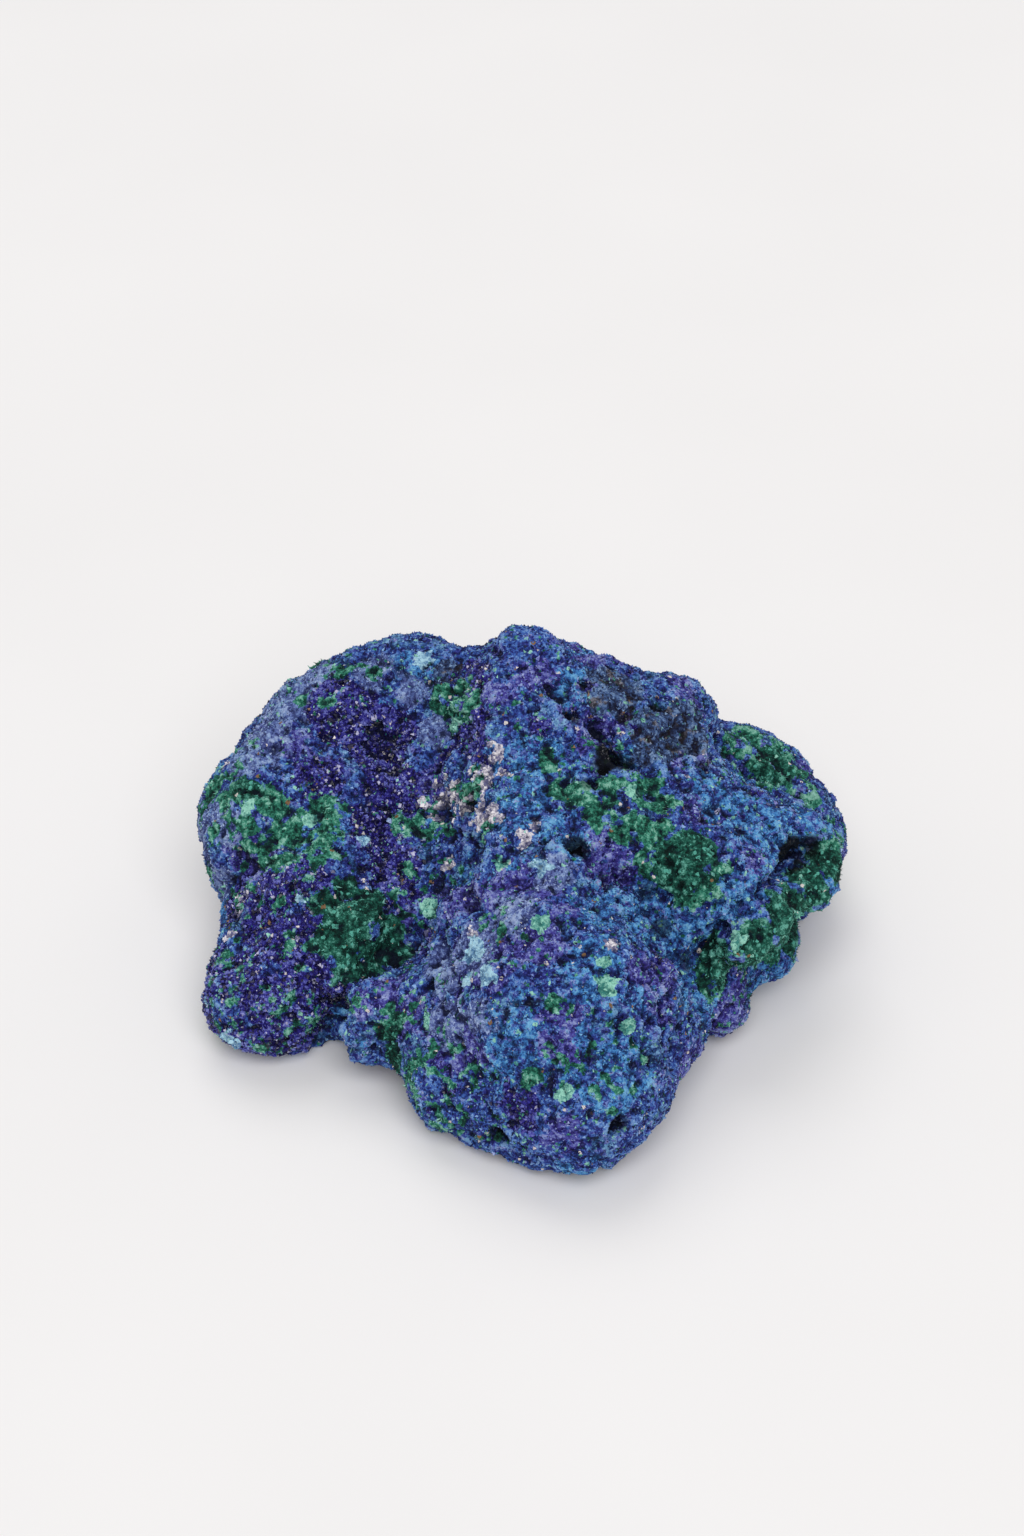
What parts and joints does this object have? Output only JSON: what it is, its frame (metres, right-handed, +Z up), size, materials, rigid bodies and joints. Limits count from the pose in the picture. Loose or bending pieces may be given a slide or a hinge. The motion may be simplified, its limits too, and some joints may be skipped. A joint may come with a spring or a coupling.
{
  "type": "azurite specimen",
  "caption": "Loose hand-sized lump of crusty azurite grown through with malachite, with blunt arms and a rough druse surface.",
  "frame": {"origin": "centre of the bounding box on the plane of the table that the lump rests on", "axes": "+Z up from the table, +X along the lump's longest extent towards the overhanging right arm, +Y away from the blunt front arm"},
  "size_m": [0.0692, 0.0606, 0.0343],
  "materials": {
    "azurite": "matte",
    "malachite": "matte",
    "gangue": "matte"
  },
  "bodies": {
    "root": {"azurite_lump": "azurite"}
  },
  "joints": []
}
